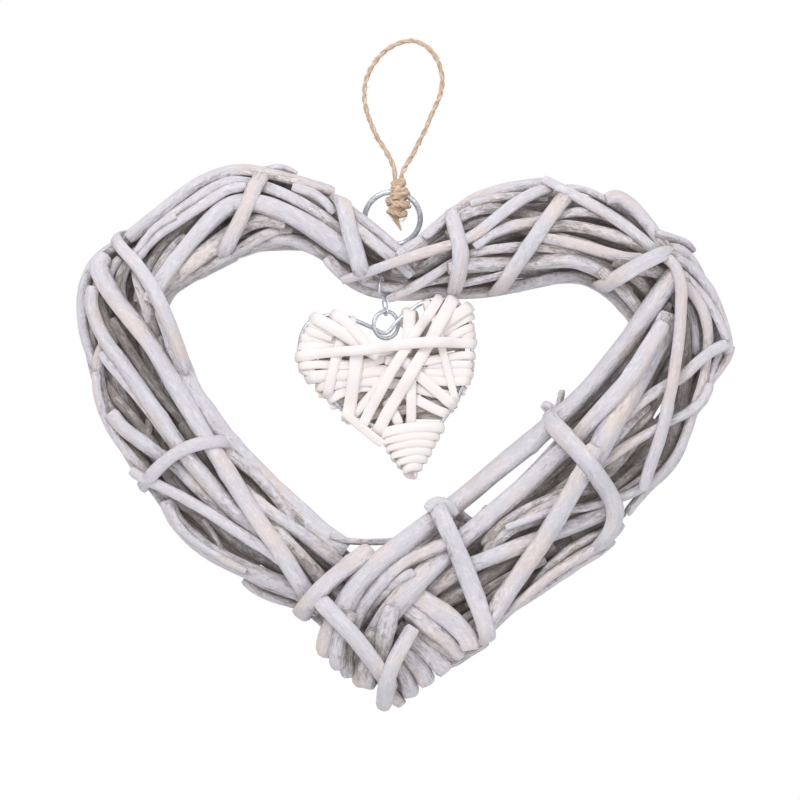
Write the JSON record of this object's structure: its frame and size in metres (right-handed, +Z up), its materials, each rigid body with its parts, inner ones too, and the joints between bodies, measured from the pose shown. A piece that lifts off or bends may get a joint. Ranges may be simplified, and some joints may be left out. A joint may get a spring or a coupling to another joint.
{
  "type": "wicker heart wreath",
  "caption": "Heart-shaped wicker wreath of whitewashed willow rods, with a jute hanging loop on a metal ring and a small woven cream heart hanging in its opening.",
  "frame": {"origin": "top of the twine loop, where it hangs on a nail or hook", "axes": "+Z up as it hangs, -Y out of the wreath's front, +X to the right seen from the front"},
  "size_m": [0.263, 0.0569, 0.2706],
  "materials": {
    "whitewashed_willow": "limewashed willow rod, matt, grain showing",
    "shaded_willow": "limewashed willow rod, duller, inside and behind the bundle",
    "cream_willow": "painted willow strip, matt cream",
    "jute_twine": "natural jute, hairy",
    "galvanised_wire": "galvanised wire, dull grey"
  },
  "bodies": {
    "root": {"left_outer_rod": "whitewashed_willow", "left_upper_rod": "whitewashed_willow", "left_crown_rod": "whitewashed_willow", "left_front_rod": "whitewashed_willow", "left_lobe_inner_rod": "whitewashed_willow", "left_side_thick_rod": "whitewashed_willow", "left_side_front_rod": "whitewashed_willow", "left_side_short_rod": "whitewashed_willow", "left_side_tip_rod": "whitewashed_willow", "left_side_outer_rod": "whitewashed_willow", "left_lower_outer_rod": "whitewashed_willow", "left_side_back_inner_rod": "whitewashed_willow", "left_side_inner_rod": "whitewashed_willow", "cleft_crossing_rod": "whitewashed_willow", "cleft_ring_rod": "whitewashed_willow", "cleft_lower_rod": "whitewashed_willow", "cleft_bottom_rod": "whitewashed_willow", "right_lobe_front_rod": "whitewashed_willow", "right_lobe_middle_rod": "whitewashed_willow", "right_outer_rod": "whitewashed_willow", "right_side_long_rod": "whitewashed_willow", "right_inner_edge_rod": "whitewashed_willow", "right_side_thick_rod": "whitewashed_willow", "right_side_front_rod": "whitewashed_willow", "right_side_slant_rod": "whitewashed_willow", "right_side_thin_rod": "whitewashed_willow", "right_lower_rod": "whitewashed_willow", "right_lower_outer_rod": "whitewashed_willow", "left_lobe_core_rod": "shaded_willow", "left_back_rod_1": "shaded_willow", "left_back_rod_2": "shaded_willow", "right_back_rod_1": "shaded_willow", "right_back_rod_2": "shaded_willow", "left_shoulder_binding": "whitewashed_willow", "left_lobe_binding": "whitewashed_willow", "left_cleft_binding": "whitewashed_willow", "left_side_binding": "whitewashed_willow", "left_tip_binding": "whitewashed_willow", "right_cleft_binding": "whitewashed_willow", "right_lobe_binding": "whitewashed_willow", "right_shoulder_binding": "whitewashed_willow", "right_side_winding": "whitewashed_willow", "right_side_binding": "whitewashed_willow", "right_diagonal_rod": "whitewashed_willow", "right_tip_binding": "whitewashed_willow", "tip_weave_upper": "whitewashed_willow", "tip_weave_end": "whitewashed_willow", "tip_weave_right_1": "whitewashed_willow", "tip_weave_right_2": "whitewashed_willow", "tip_weave_right_3": "whitewashed_willow", "hanging_ring": "galvanised_wire", "wire_link": "galvanised_wire", "small_heart_ring": "galvanised_wire", "twine_loop": "jute_twine", "twine_knot": "jute_twine", "heart_frame": "cream_willow", "heart_wrap_across": "cream_willow", "heart_wrap_down": "cream_willow", "heart_wrap_slant": "cream_willow", "heart_tip_coil": "cream_willow"}
  },
  "joints": []
}
